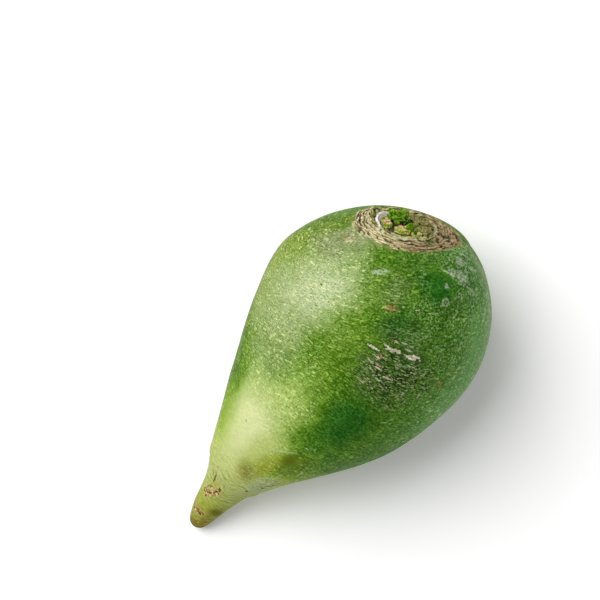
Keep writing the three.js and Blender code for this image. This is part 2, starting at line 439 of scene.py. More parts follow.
def tailFolds(straight, along, around, radius):
    amount = smoothStep(tailRelief["from"] - 6, tailRelief["from"] + 14, along)
    amount = amount * (1 - 0.6 * smoothStep(134, 144, along))
    far = amount > 0
    folds, stains, crumbs = np.zeros((3, len(along)))
    spots = straight[far]
    drift = noiseAt(spots, 7, 6, 2)
    phase = (along[far] + 0.12 * straight[far, 0]) / tailRelief["wrinkleSpacing"] + 1.1 * drift
    broken = np.clip(0.5 + 1.3 * noiseAt(spots * (1, 1, 1.8), 3.4, 7, 2), 0, 1)
    folds[far] = (np.abs(np.sin(np.pi * phase)) ** 0.6 - 0.7) * broken
    stains[far] = noiseAt(spots * (1, 1, 1.6), 2.6, 8, 3)
    crumbs[far] = noiseAt(spots, 0.8, 14, 2)
    scars = np.zeros(len(along))
    lips = np.zeros(len(along))
    wobble = np.zeros(len(along))
    wobble[far] = 0.5 * noiseAt(spots, 1.2, 9, 2)
    for place, side, reachAlong, reachAround, depth in tailScars:
        across = np.radians((around - side + 180) % 360 - 180) * np.maximum(radius, 1)
        away = np.hypot((along - place) / reachAlong, across / reachAround) + wobble
        scars = np.maximum(scars, depth * (1 - smoothStep(0.35, 1.05, away)))
        lips = np.maximum(lips, depth * np.exp(-(((away - 1.25) / 0.35) ** 2)))
    pitted = scars * (1 - 2.4 * np.clip(crumbs, 0, 0.6))
    rise = tailRelief["wrinkleDepth"] * folds * amount - pitted + 0.4 * lips
    return rise, {
        "amount": amount, "folds": folds, "stains": stains,
        "crumbs": crumbs, "scars": scars, "lips": lips,
    }


def paintTail(colours, tail, along):
    # painted shade in the creases of the tail's wrinkles, and a painted highlight on their crests
    dark = tail["amount"] * np.clip(-tail["folds"], 0, 1)
    pale = tail["amount"] * np.clip(tail["folds"], 0, 1)
    colours = blend(colours, tailTones["foldShade"], 0.9 * dark)
    colours = blend(colours, tailTones["crest"], np.clip(1.2 * pale, 0, 0.45))
    tip = smoothStep(140, 156, along + 8 * tail["stains"])
    colours = blend(colours, tailTones["tip"], 0.4 * tip * smoothStep(-0.1, 0.4, tail["stains"]))
    colours = blend(colours, tailTones["lip"], 0.5 * smoothStep(0, 0.4, tail["lips"]))
    scarred = smoothStep(0.02, 0.14, tail["scars"])
    colours = blend(colours, tailTones["scar"], scarred)
    colours = blend(colours, tailTones["scarCrumb"], scarred * smoothStep(0.05, 0.3, tail["crumbs"]))
    colours = blend(colours, tailTones["scarPit"], scarred * smoothStep(-0.12, -0.4, tail["crumbs"]))
    return np.clip(colours, 0.02, 1)


def addPlaces(mesh, around, along):
    # degrees around and mm along at each face corner, with the seam on the underside
    corners = np.empty(len(mesh.loops), dtype=np.int64)
    mesh.loops.foreach_get("vertex_index", corners)
    cornerCounts = [len(face.vertices) for face in mesh.polygons]
    faces = np.repeat(np.arange(len(mesh.polygons)), cornerCounts)
    degrees = (around[corners] + 90) % 360 - 90
    highest = np.full(len(mesh.polygons), -400.0)
    np.maximum.at(highest, faces, degrees)
    degrees = np.where(highest[faces] - degrees > 180, degrees + 360, degrees)
    layer = mesh.attributes.new("place", "FLOAT_VECTOR", "CORNER")
    places = np.column_stack([degrees, along[corners], np.ones(len(corners))])
    layer.data.foreach_set("vector", np.ascontiguousarray(places, dtype=np.float32).ravel())


def makeRoot():
    stops, rings = outlineRings()
    piece = makeRootBlank(stops, rings)
    mesh = piece.data
    place = getPoints(mesh)
    reach = getValues(mesh, "reach")
    slope = np.gradient(rings, stops, axis=0)
    slopeAlong = np.interp(reach, stops, slope[:, 0])
    slopeOut = np.interp(reach, stops, slope[:, 1])
    turn = np.arctan2(place[:, 1], place[:, 0])
    around = np.degrees(turn) % 360
    radius = np.hypot(place[:, 0], place[:, 1])
    along = -place[:, 2]
    straight = np.column_stack([place[:, :2], along])

    disc, discParts = crownDisc(straight, along)
    tail, tailParts = tailFolds(straight, along, around, radius)
    body = smoothStep(3, 12, along)
    lumps = 0.4 * noiseAt(straight, 42, 10, 2) + 0.13 * noiseAt(straight, 9, 11, 2)
    rise = disc + tail + lumps * body * (1 - 0.6 * tailParts["amount"])  # along the outline's normal
    radius = radius + swellingAt(along, around) + rise * slopeAlong
    height = place[:, 2] + rise * slopeOut + discParts["fill"]
    points = bend(np.column_stack([radius * np.cos(turn), radius * np.sin(turn), height]))
    low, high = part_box("root")
    middle = (points.min(0) + points.max(0)) / 2
    shift = np.array([(low.x + high.x) / 2 / mm - middle[0], (low.y + high.y) / 2 / mm - middle[1], 0])
    points = points + shift
    points[:, 2] = np.maximum(points[:, 2], 0)
    setPoints(mesh, points * mm)

    colours = paintSkin(straight, along, around)
    colours = paintTail(colours, tailParts, along)
    colours = paintCrown(colours, discParts, straight)
    waist = regionAt("waist", around, along)
    speckle = smoothStep(0, 3, along) * (1 - 0.85 * waist) * (1 - 0.75 * smoothStep(108, 124, along))
    colours = linear(colours)
    dashes = linear(tone(skinLook["dashTone"]))
    share = speckle[:, None]
    lifted = colours * (1 + 0.38 * share) - 0.06 * share * dashes  # the streaks give this back
    colours = np.clip(lifted, 0.3 * colours, 0.95)
    addColours(mesh, "tint", colours)
    addValues(mesh, "bloom", smoothStep(0.15, 0.36, colours @ (0.3, 0.6, 0.1)))  # the pale parts of the tint, its painted sheen and highlight among them
    tilt = -0.28 * straight[:, 0] * smoothStep(25, 60, along) * (straight[:, 0] > 0)
    addVectors(mesh, "straight", straight)
    addVectors(mesh, "corkGrain", discParts["grain"])
    addVectors(mesh, "grain", np.column_stack([straight[:, :2], 3.1 * (along + tilt)]))
    addPlaces(mesh, around, along)
    quiet = np.maximum(regionAt("darkSpot", around, along), regionAt("shoulderSpot", around, along))
    quiet = np.maximum(quiet, regionAt("wetSpot", around, along))
    addValues(mesh, "speckle", speckle * (1 - quiet) * (1 - discParts["cork"]))
    drift = 0.35 * noiseAt(straight, 7, 12, 2)
    scuff = regionAt("scuff", around, along, drift)
    addValues(mesh, "scuff", np.maximum(scuff, regionAt("scuffAbove", around, along, drift)))
    frost = regionAt("frost", around, along, 0.3 * noiseAt(straight, 10, 13, 2))
    addValues(mesh, "frost", (0.45 + 0.55 * frost) * speckle * (1 - quiet) * (1 - discParts["cork"]))
    addValues(mesh, "cork", discParts["cork"] * (1 - discParts["bud"]))
    mesh.shade_smooth()
    return piece, shift


rootPiece, rowShift = makeRoot()
print("root:", len(rootPiece.data.polygons), "faces")


# Shader nodes

def addNode(tree, kind, inputs=None, **settings):
    node = tree.nodes.new("ShaderNode" + kind)
    for name, value in settings.items():
        setattr(node, name, value)
    for key, value in (inputs or {}).items():
        if isinstance(value, bpy.types.NodeSocket):
            tree.links.new(value, node.inputs[key])
        else:
            node.inputs[key].default_value = value
    return node


def newMaterial(name, roughness, specular=0.3):
    material = bpy.data.materials.new(name)
    material.use_nodes = True
    tree = material.node_tree
    shader = tree.nodes["Principled BSDF"]
    shader.inputs["Roughness"].default_value = roughness
    shader.inputs["Specular IOR Level"].default_value = specular
    return material, tree, shader


def paint(code):
    return (*linear(tone(code)), 1)


def readLayer(tree, name, output="Fac"):
    return addNode(tree, "Attribute", attribute_name=name).outputs[output]


def addNoise(tree, vector, scale, detail=2.0, rough=0.5):
    inputs = {"Vector": vector, "Scale": scale, "Detail": detail, "Roughness": rough}
    return addNode(tree, "TexNoise", inputs).outputs["Fac"]


def addStep(tree, value, low, high, start=0.0, end=1.0):
    inputs = {"Value": value, "From Min": low, "From Max": high, "To Min": start, "To Max": end}
    return addNode(tree, "MapRange", inputs, interpolation_type="SMOOTHSTEP").outputs[0]


def addMath(tree, operation, first, second=0.0, third=0.0):
    return addNode(tree, "Math", {0: first, 1: second, 2: third}, operation=operation).outputs[0]


def addProduct(tree, first, second):
    return addMath(tree, "MULTIPLY", first, second)


def addSum(tree, first, second):
    return addMath(tree, "ADD", first, second)


def addMix(tree, amount, first, second, kind="MIX"):
    inputs = {0: amount, 6: first, 7: second}
    return addNode(tree, "Mix", inputs, data_type="RGBA", blend_type=kind).outputs[2]


def addTinted(tree, tint, factors):
    return addMix(tree, 1.0, tint, (*factors, 1), "MULTIPLY")


def moveVector(tree, vector, factors, added):
    inputs = {0: vector, 1: factors, 2: added}
    return addNode(tree, "VectorMath", inputs, operation="MULTIPLY_ADD").outputs[0]


def dabOn(tree, colour, value, fade, code):
    return addMix(tree, addStep(tree, value, *fade), colour, paint(code))


def finishMaterial(material, colour, relief, deep):
    tree = material.node_tree
    shader = tree.nodes["Principled BSDF"]
    bump = addNode(tree, "Bump", {"Height": relief, "Distance": deep * mm, "Strength": 1.0})
    tree.links.new(colour, shader.inputs["Base Color"])
    tree.links.new(bump.outputs[0], shader.inputs["Normal"])
    return material


# Marks on the skin: along, around, half length and half width in mm,
# and lean in degrees from the way round
scarMarks = [
    (35.4, 111.3, 3.2, 0.9, -4), (35.2, 102.6, 2.7, 0.75, -6), (37.2, 93.2, 2.3, 0.45, 10),
    (40.4, 97, 1.6, 0.35, 12), (44.6, 101.5, 1.6, 0.3, 8), (46.4, 108, 1.8, 0.35, 4),
    (34.4, 97.6, 1, 0.35, 12), (18.3, 105, 0.7, 0.35, 0), (52, 205, 2.4, 0.7, -10),
    (38, 248, 1.8, 0.8, 15), (60, 318, 2.8, 0.6, 8), (24, 300, 1.3, 0.7, -12),
    (78, 262, 2.2, 0.5, -6),
]
rustMarks = [
    (41.9, 134.5, 1.5, 0.9, -20), (23.4, 75.7, 0.8, 0.6, 8), (19.2, 91.2, 2, 1.2, 5),
    (39.4, 98.6, 1.8, 0.5, 10), (43.2, 99.8, 2.6, 0.4, 8), (31.6, 100.6, 1.2, 0.6, 0),
    (3.6, 37.5, 1.8, 0.6, 0), (122.4, 64.3, 1, 0.7, 0), (60, 250, 1.6, 0.7, 10),
    (30, 215, 1.2, 0.6, 0), (47, 330, 1.4, 0.6, 0),
]
streakMarks = [
    (7.2, 129.4, 4.2, 0.3, 26), (43.2, 96.2, 1.5, 0.3, 8), (31.1, 104.8, 1.5, 0.35, 6),
    (33.4, 108.6, 1.8, 0.4, 2), (31.6, 108.6, 1.2, 0.3, 6), (48.6, 104.5, 3, 0.35, 4),
    (46.2, 99.4, 1.6, 0.35, 6), (34.4, 35.6, 1.3, 0.7, 70), (24.7, 63, 0.6, 0.45, 40),
    (17.8, 97.3, 0.7, 0.4, 0), (39.8, 109.5, 2.2, 0.3, 4), (38.9, 114.8, 2.8, 0.25, 2),
    (59.7, 128.5, 1.5, 0.22, -30), (61.4, 127.2, 1.8, 0.2, -30), (60.6, 131, 1.2, 0.2, -30),
    (49.6, 121, 1.3, 0.35, 75), (51.6, 125.2, 1.3, 0.3, 78), (47.6, 128.8, 1.2, 0.35, 60),
    (96.1, 98.2, 2.2, 0.4, -34), (94, 103.6, 2.4, 0.35, -40), (91.8, 109.2, 2.4, 0.3, -36),
    (88.4, 108, 1.6, 0.2, 0), (86.6, 112, 1.9, 0.2, 0), (85.4, 116.2, 1.7, 0.18, 0),
    (119.8, 61.5, 2, 0.22, 75), (124.6, 72, 1.8, 0.2, 40), (126.8, 80, 1.6, 0.18, 40),
    (124.6, 92, 1.8, 0.16, 35), (128.4, 98, 1.6, 0.16, 35), (66, 228, 2.4, 0.3, -20),
    (70, 232, 2, 0.3, -22), (30, 276, 1.6, 0.3, 10), (44, 342, 2.2, 0.3, -14),
]
blotchMarks = [
    (9.2, 140.5, 3.2, 2, 10), (5.4, 146.6, 2.2, 1.5, 0), (7.2, 132.8, 2.2, 1.2, 10),
    (13.6, 146, 2, 0.9, 30), (8.3, 156, 3.6, 0.6, 40), (5.3, 160, 3.6, 0.5, 40),
    (8.1, 78.4, 3, 1, -12), (10.6, 123.7, 1.3, 0.9, 0), (22, 168, 2.6, 0.9, 20),
    (11, 190, 3, 1, -10), (16, 322, 2.6, 1.2, 12), (12, 262, 3, 0.9, 0),
]
ringMarks = [
    (15.3, 121.7, 1.55, 1.25, 0), (14, 133.5, 1.2, 1, 0), (26, 238, 1.4, 1.1, 0),
]
nickMarks = [
    (128.2, 66.2, 2.8, 0.45, 88), (134.6, 58.5, 2.8, 0.22, -70), (130.7, 87, 0.9, 0.35, 60),
    (124.8, 66, 0.5, 0.4, 0), (148.9, 80, 0.9, 0.4, 20), (125.6, 78, 1.8, 0.14, 40),
    (127.6, 92, 2, 0.14, 35), (131.6, 104, 1.8, 0.14, 30), (117.1, 134.4, 1.4, 0.4, 10),
    (114.4, 136, 1.8, 0.4, -30), (112.6, 139, 1.2, 0.3, -10), (123, 124.2, 1, 0.4, 30),
    (11.7, 143.6, 2.2, 0.25, 35), (126.6, 57, 1.5, 0.3, 55), (31, 58, 1.3, 0.25, 25),
    (19.8, 52.5, 0.6, 0.45, 0), (96.3, 66, 0.6, 0.35, 40), (88, 240, 1.2, 0.3, 10),
    (104, 300, 1, 0.3, -20),
]
skinDashes = [  # cells per mm round the root, reach in a cell, share of cells, strength
    (0.36, 0.46, 0.50, 1.0),
    (0.60, 0.48, 0.55, 1.0),
    (1.00, 0.46, 0.50, 0.9),
]


def addMarks(tree, place, marks):
    # place holds degrees around, mm along and 1, so two dot products give each mark's own directions
    stops, rings = outlineRings()
    rings = rings[rings[:, 0].argmin() :]
    nearest = None
    for along, around, halfLong, halfWide, lean in marks:
        # one degree round the root, in mm
        degree = math.radians(np.interp(along, rings[:, 0], rings[:, 1]))
        around = (around + 90) % 360 - 90
        tip = math.radians(lean)
        squares = 0.0
        for half, angle in ((halfLong, tip), (halfWide, tip + math.pi / 2)):
            way = Vector((math.cos(angle) * degree, math.sin(angle), 0)) / half
            way.z = -(way.x * around + way.y * along)
            far = addNode(tree, "VectorMath", {0: place, 1: way}, operation="DOT_PRODUCT").outputs["Value"]
            squares = addMath(tree, "MULTIPLY_ADD", far, far, squares)
        nearest = squares if nearest is None else addMath(tree, "MINIMUM", nearest, squares)
    return addMath(tree, "SQRT", nearest)


def makeSkin():
    material, tree, shader = newMaterial("radish_skin", skinLook["roughness"], skinLook["specular"])
    tint = readLayer(tree, "tint", "Color")
    grain = readLayer(tree, "grain", "Vector")
    straight = readLayer(tree, "straight", "Vector")
    speckle = readLayer(tree, "speckle")
    scuff = readLayer(tree, "scuff")
    cork = readLayer(tree, "cork")
    bloom = readLayer(tree, "bloom")
    frost = readLayer(tree, "frost")

    # cloudy green under the streaks
    cloud = addNoise(tree, straight, 0.2, 4, 0.6)
    warp = addNode(tree, "TexNoise", {"Vector": straight, "Scale": 0.4, "Detail": 2.0}).outputs["Color"]
    shifted = moveVector(tree, warp, (2.6, 2.6, 2.6), grain)
    fine = addNoise(tree, shifted, 0.46, 4, 0.65)
    mottle = addSum(tree, addProduct(tree, cloud, 0.35), addProduct(tree, fine, 0.65))
    deepTint = addTinted(tree, tint, (0.27, 0.41, 0.08))
    liftedTint = addTinted(tree, tint, (1.12, 1.08, 1.2))
    paleTint = addMix(tree, 0.05, liftedTint, paint(skinLook["dashTone"]))
    softTint = addTinted(tree, tint, (0.80, 0.85, 0.70))
    underTint = addMix(tree, bloom, deepTint, softTint)
    skin = addMix(tree, addStep(tree, mottle, 0.38, 0.62), underTint, paleTint)
    calm = addMix(tree, 0.75, skin, tint)
    skin = addMix(tree, speckle, calm, skin)

    # cream dashes that run round the root, and dark pits between them
    dashes = None
    for scale, reach, share, strength in skinDashes:
        cells = addNode(tree, "TexVoronoi", {"Vector": shifted, "Scale": scale, "Randomness": 1.0})
        chance = addNode(tree, "SeparateColor", {0: cells.outputs["Color"]})
        size = addStep(tree, chance.outputs[0], 1 - share, 1.0, 0.08, reach)
        inside = addMath(tree, "SUBTRACT", size, cells.outputs["Distance"])
        layer = addStep(tree, inside, 0.0, 0.1, 0.0, strength)
        layer = addProduct(tree, layer, addMath(tree, "MULTIPLY_ADD", chance.outputs[1], 0.4, 0.6))
        dashes = layer if dashes is None else addMath(tree, "MAXIMUM", dashes, layer)
    patchy = addStep(tree, addNoise(tree, straight, 0.11, 2, 0.5), 0.35, 0.62, 0.65, 1.0)
    dash = addProduct(tree, addProduct(tree, dashes, patchy), speckle)
    brightTint = addTinted(tree, tint, (2.6, 2.05, 1.2))
    creamy = addStep(tree, bloom, 0.0, 0.8, 0.10, 0.66)
    dashTone = addMix(tree, creamy, brightTint, paint(skinLook["dashTone"]))
    skin = addMix(tree, dash, skin, dashTone)
    pit = addStep(tree, addNoise(tree, straight, 1.15, 2, 0.5), 0.64, 0.74)
    pit = addProduct(tree, pit, addMath(tree, "MAXIMUM", speckle, 0.15))
    skin = addMix(tree, pit, skin, addTinted(tree, tint, (0.26, 0.30, 0.14)))
    low = addStep(tree, addNoise(tree, shifted, 0.8, 3, 0.6), 0.44, 0.32)
    low = addProduct(tree, addProduct(tree, low, speckle), addStep(tree, bloom, 0.0, 1.0, 0.8, 0.45))
    skin = addMix(tree, low, skin, deepTint)
    dots = addNode(tree, "TexVoronoi", {"Vector": straight, "Scale": 0.75, "Randomness": 1.0})
    chance = addNode(tree, "SeparateColor", {0: dots.outputs["Color"]}).outputs[0]
    size = addStep(tree, chance, 0.45, 1.0, 0.0, 0.3)
    dot = addStep(tree, addMath(tree, "SUBTRACT", size, dots.outputs["Distance"]), -0.02, 0.1)
    dot = addProduct(tree, addProduct(tree, dot, 0.8), addMath(tree, "MAXIMUM", speckle, 0.1))
    skin = addMix(tree, dot, skin, addTinted(tree, tint, (0.30, 0.36, 0.20)))

    # grit: greyish flecks and dark specks, the same size in all directions
    grit = addNoise(tree, straight, 1.2, 3, 0.7)
    clusters = addStep(tree, cloud, 0.38, 0.62, 0.35, 1.0)
    paleGrit = addProduct(tree, addStep(tree, grit, 0.53, 0.62), addProduct(tree, frost, clusters))
    paleGrit = addProduct(tree, paleGrit, addStep(tree, bloom, 0.2, 1.0, 1.0, 0.35))
    gritTone = addTinted(tree, tint, (2.4, 2.0, 1.3))
    gritTone = dabOn(tree, gritTone, frost, (0.45, 0.95, 0.12, 0.85), skinLook["frost"])
    skin = addMix(tree, paleGrit, skin, gritTone)
    darkGrit = addProduct(tree, addStep(tree, grit, 0.48, 0.39, 0.0, 0.9), speckle)
    darkGrit = addProduct(tree, darkGrit, addStep(tree, bloom, 0.2, 1.0, 1.0, 0.6))
    skin = addMix(tree, darkGrit, skin, deepTint)

    # a rubbed zone: greyish cream flecks over nearly black green
    rub = addNoise(tree, grain, 0.34, 4, 0.65)
    flecks = addStep(tree, addNoise(tree, grain, 0.7, 3, 0.7), 0.51, 0.60)
    rubbed = addMix(tree, flecks, paint(skinLook["rubGround"]), paint(skinLook["rubFleck"]))
    rubAmount = addProduct(tree, scuff, addStep(tree, rub, 0.42, 0.52))
    skin = addMix(tree, rubAmount, skin, rubbed)

    # marks
    jitter = addNode(tree, "TexNoise", {"Vector": straight, "Scale": 1.1, "Detail": 2.0}).outputs["Color"]
    place = moveVector(tree, readLayer(tree, "place", "Vector"), (1, 1, 1), (-0.9, -0.7, 0))
    loose = moveVector(tree, jitter, (1.8, 1.4, 0), place)
    blotch = addMarks(tree, loose, blotchMarks)
    ragged = addSum(tree, blotch, addProduct(tree, addSum(tree, rub, cloud), 1.6))
    blotchAmount = addStep(tree, ragged, 2.9, 2.1, 0.0, 0.85)
    flaky = addStep(tree, grit, 0.42, 0.56, 0.25, 1.0)
    skin = addMix(tree, addProduct(tree, blotchAmount, flaky), skin, paint(skinLook["blotch"]))
    streak = addMarks(tree, loose, streakMarks)
    uneven = addStep(tree, fine, 0.40, 0.60, 0.35, 0.8)
    streakAmount = addProduct(tree, addStep(tree, streak, 1.15, 0.5), uneven)
    skin = addMix(tree, streakAmount, skin, paint(skinLook["streak"]))
    ring = addMarks(tree, loose, ringMarks)
    ringBand = addMath(tree, "SUBTRACT", addStep(tree, ring, 1.25, 1.0), addStep(tree, ring, 0.85, 0.5))
    ringAmount = addProduct(tree, ringBand, addProduct(tree, flaky, 0.75))
    skin = addMix(tree, ringAmount, skin, paint(skinLook["ring"]))
    skin = dabOn(tree, skin, ring, (0.5, 0.2, 0.0, 0.6), skinLook["ringHeart"])
    scar = addMarks(tree, loose, scarMarks)
    broken = addProduct(tree, addMath(tree, "SUBTRACT", 1.0, addSum(tree, rub, grit)), 3.2)
    brokenScar = addSum(tree, scar, broken)
    scarAmount = addStep(tree, brokenScar, 1.15, 0.9, 0.0, 0.95)
    # a painted shadow round each scar, in nearly black green
    skin = dabOn(tree, skin, brokenScar, (2.3, 1.3, 0.0, 0.6), skinLook["scarShadow"])
    heart = addStep(tree, addSum(tree, scar, grit), 0.60, 0.82)
    scarTone = addMix(tree, heart, paint(skinLook["scarHeart"]), paint(skinLook["scarRim"]))
    dull = addStep(tree, fine, 0.46, 0.56, 0.6, 0.0)
    scarTone = addMix(tree, dull, scarTone, paint(skinLook["scarDull"]))
    rust = addMarks(tree, loose, rustMarks)
    rustAmount = addSum(tree, rust, addProduct(tree, addMath(tree, "SUBTRACT", 0.5, grit), 7.0))
    rustDeep, rustPale = paint(skinLook["rustDeep"]), paint(skinLook["rustPale"])
    rustTone = addMix(tree, addStep(tree, rub, 0.42, 0.58), rustDeep, rustPale)
    skin = addMix(tree, addStep(tree, rustAmount, 1.1, 0.4, 0.0, 0.75), skin, rustTone)
    skin = addMix(tree, scarAmount, skin, scarTone)
    nick = addStep(tree, addMarks(tree, loose, nickMarks), 1.15, 0.6, 0.0, 0.85)
    skin = addMix(tree, nick, skin, paint(skinLook["nick"]))

    # corky crown and scars: grain in the cork itself
    crumb = addNoise(tree, readLayer(tree, "corkGrain", "Vector"), 1.0, 4, 0.6)
    # the cork's grain: its low places take a painted shade, its high places pale crumbs
    shadowCork = addTinted(tree, tint, (0.55, 0.47, 0.38))
    paleCork = addMix(tree, 0.12, tint, paint(skinLook["corkCrumb"]))
    corkTone = addMix(tree, addStep(tree, crumb, 0.35, 0.66), shadowCork, paleCork)
    skin = addMix(tree, cork, skin, corkTone)

    # gloss and fine relief
    rough = addMath(tree, "MULTIPLY_ADD", fine, 0.22, skinLook["roughness"] - 0.11)
    dry = addProduct(tree, addMath(tree, "MAXIMUM", cork, scarAmount), 0.85)
    rough = addMath(tree, "MAXIMUM", rough, dry)
    tree.links.new(rough, shader.inputs["Roughness"])
    relief = addSum(tree, addProduct(tree, dash, 0.55), addProduct(tree, fine, 0.5))
    relief = addMath(tree, "SUBTRACT", relief, addProduct(tree, pit, 0.8))
    relief = addSum(tree, relief, addProduct(tree, addProduct(tree, crumb, cork), 2.6))
    return finishMaterial(material, skin, relief, 0.09)


rootPiece.data.materials.append(makeSkin())
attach(rootPiece, "root")
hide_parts("root")
print("root skin: done")


# What stands in the crown. The crown's own directions: x to its left, y over its top, z outwards

crownSpots, crownTangents, crownLefts, crownTops = lineFrames(np.array([rootShape["hollowDepth"]]))
crownOrigin = crownSpots[0] + rowShift


def placeInCrown(points):
    x, y, z = points.T[:, :, None]
    return crownOrigin + x * crownLefts[0] + y * crownTops[0] - z * crownTangents[0]


def finishPiece(piece, material, node):
    setPoints(piece.data, placeInCrown(getPoints(piece.data)) * mm)
    piece.data.materials.append(material)
    piece.data.shade_smooth()
    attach(piece, "root")
    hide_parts(node)


def applyModifier(piece, kind, **settings):
    bpy.context.view_layer.objects.active = piece
    change = piece.modifiers.new(kind.title(), kind)
    for name, value in settings.items():
        setattr(change, name, value)
    bpy.ops.object.modifier_apply(modifier=change.name)


# Leaf bases: inner and outer radius, from and to in degrees, foot and top height,
# how far the cut is dished, and how rough it is
stubs = {
    "leaf_stalk_left": (4.6, 8.3, -24, 40, 0.6, 3.6, 0.5, 0.28),
    "leaf_stalk_front": (2.8, 7.2, 60, 118, 0.6, 3.5, 0.4, 0.4),
    "leaf_stalk_low": (6.2, 9.4, 118, 144, 0.6, 2.6, 0.6, 0.35),
    "leaf_stalk_back": (5.9, 9.7, 277, 315, 0.6, 3.0, 0.4, 0.2),
    "old_base_upper": (4.6, 10.8, 146, 186, 0.6, 3.1, 0.2, 0.6),
    "old_base_right": (4.2, 10.8, 188, 228, 0.6, 3.6, 0.1, 0.65),
    "old_base_rear": (4.8, 10.8, 229, 270, 0.6, 3.3, 0.2, 0.6),
}


def makeStub(name, seed):
    inner, outer, start, end, foot, top, dish, rough = stubs[name]
    startClean()
    bpy.ops.mesh.primitive_cube_add(size=2)
    piece = bpy.context.object
    piece.name = name + "_cut"
    bpy.ops.object.mode_set(mode="EDIT")
    bpy.ops.mesh.select_all(action="SELECT")
    bpy.ops.mesh.subdivide(number_cuts=9)
    bpy.ops.object.mode_set(mode="OBJECT")
    unit = getPoints(piece.data)
    across, sideways, up = unit.T
    # a rounded plan, leaning outwards, with a dished cut face
    plan = np.sqrt(np.clip(1 - 0.22 * np.minimum(across**2, 1) * np.minimum(sideways**2, 1), 0.1, 1))
    across, sideways = across * plan, sideways * plan
    climb = (up + 1) / 2
    radius = inner + (outer - inner) * (across + 1) / 2 + 0.35 * climb
    angle = np.radians(start + (end - start) * (sideways + 1) / 2)
    middle = (1 - across**2) * (1 - sideways**2)
    height = foot + (top - foot) * climb - dish * middle * smoothStep(0.5, 1, climb) * 2
    height = height - 0.35 * (across**4 + sideways**4) * smoothStep(0.7, 1, climb)
    points = np.column_stack([radius * np.cos(angle), radius * np.sin(angle), height])
    lumps = np.column_stack([noiseAt(points + 9 * i, 1.0, seed + i, 3) for i in range(3)])
    points = points + rough * lumps * (0.3 + 1.2 * climb)[:, None]
    rimward = np.maximum(np.abs(across), np.abs(sideways))
    face = smoothStep(0.78, 0.99, climb) * (1 - smoothStep(0.72, 0.98, rimward))
    setPoints(piece.data, points)
    addValues(piece.data, "cutFace", face)
    addVectors(piece.data, "stalkPlace", np.column_stack([radius, 9 * angle, 0.6 * height]))
    applyModifier(piece, "SUBSURF", levels=1, render_levels=1)
    return piece


def makeStalkMaterial():
    material, tree, _ = newMaterial("cut_stalk", 0.62, 0.2)
    place = readLayer(tree, "stalkPlace", "Vector")
    face = readLayer(tree, "cutFace")
    fibre = addNoise(tree, place, 1.6, 3, 0.6)
    pith = addNoise(tree, place, 0.7, 3, 0.6)
    side = addMix(tree, addStep(tree, fibre, 0.35, 0.65), paint("6c8c10"), paint("d2dc66"))
    cut = addMix(tree, addStep(tree, pith, 0.38, 0.62), paint("96743a"), paint("ead79c"))
    cells = addNode(tree, "TexVoronoi", {"Vector": place, "Scale": 1.15}).outputs["Distance"]
    cut = dabOn(tree, cut, cells, (0.30, 0.14, 0.0, 0.75), "7c4a22")
    edge = addStep(tree, addSum(tree, face, addProduct(tree, fibre, 0.5)), 0.25, 0.75)
    relief = addSum(tree, fibre, addProduct(tree, addProduct(tree, cells, face), 1.5))
    return finishMaterial(material, addMix(tree, edge, side, cut), relief, 0.25)


def makeOldBaseMaterial():
    material, tree, _ = newMaterial("old_leaf_base", 0.75, 0.15)
    metres = addNode(tree, "TexCoord").outputs["Object"]
    place = addNode(tree, "VectorMath", {0: metres, "Scale": 1 / mm}, operation="SCALE").outputs[0]
    grain = addNoise(tree, place, 0.75, 4, 0.65)
    crumbs = addNoise(tree, place, 2.1, 3, 0.6)
    colour = addMix(tree, addStep(tree, grain, 0.34, 0.62), paint("181404"), paint("968e4a"))
    colour = dabOn(tree, colour, crumbs, (0.50, 0.68, 0.0, 0.8), "c3bd7e")
    colour = dabOn(tree, colour, crumbs, (0.44, 0.32, 0.0, 0.7), "2b2009")
    return finishMaterial(material, colour, addSum(tree, grain, crumbs), 0.35)


stalkMaterial = makeStalkMaterial()
oldBaseMaterial = makeOldBaseMaterial()
for seed, name in enumerate(stubs):
    piece = makeStub(name, 20 + 3 * seed)
    if name.startswith("leaf_stalk"):
        finishPiece(piece, stalkMaterial, name)
    else:
        finishPiece(piece, oldBaseMaterial, name)
print("leaf bases:", len(stubs))


sheath = {
    "radius": 9.3,
    "from": -58,
    "to": 34,
    "foot": 0.6,
    "height": 3.5,
    "thickness": 0.95,
}


def makeSheath():
    startClean()
    bpy.ops.mesh.primitive_grid_add(x_subdivisions=44, y_subdivisions=12, size=2)
    piece = bpy.context.object
    piece.name = "papery_sheath_sheet"
    unit = getPoints(piece.data)
    share, climb = (unit[:, 0] + 1) / 2, (unit[:, 1] + 1) / 2
    angle = np.radians(sheath["from"] + (sheath["to"] - sheath["from"]) * share)
    ends = np.sqrt(np.clip(1 - np.abs(2 * share - 1) ** 2.6, 0, 1))  # lower towards both ends
    spots = np.column_stack([9 * share, np.zeros_like(share), np.zeros_like(share)])
    ragged = 1 + 0.16 * noiseAt(spots * 3, 1.7, 41, 3)
    height = sheath["foot"] + (sheath["height"] - sheath["foot"]) * climb * (0.25 + 0.75 * ends) * ragged
    lean = 1.3 * climb**1.3 + 0.9 * (1 - ends) * (climb - 0.3)
    radius = sheath["radius"] - 0.3 + 0.25 * np.sin(9 * share + 1) + lean
    points = np.column_stack([radius * np.cos(angle), radius * np.sin(angle), height])
    points[:, :2] += 0.3 * np.column_stack([noiseAt(points, 1.6, 42, 2), noiseAt(points, 1.6, 43, 2)])
    setPoints(piece.data, points)
    addVectors(piece.data, "sheetPlace", np.column_stack([20 * share, 3 * climb, np.zeros_like(share)]))
    applyModifier(piece, "SOLIDIFY", thickness=sheath["thickness"], offset=0)
    applyModifier(piece, "SUBSURF", levels=1, render_levels=1)
    return piece


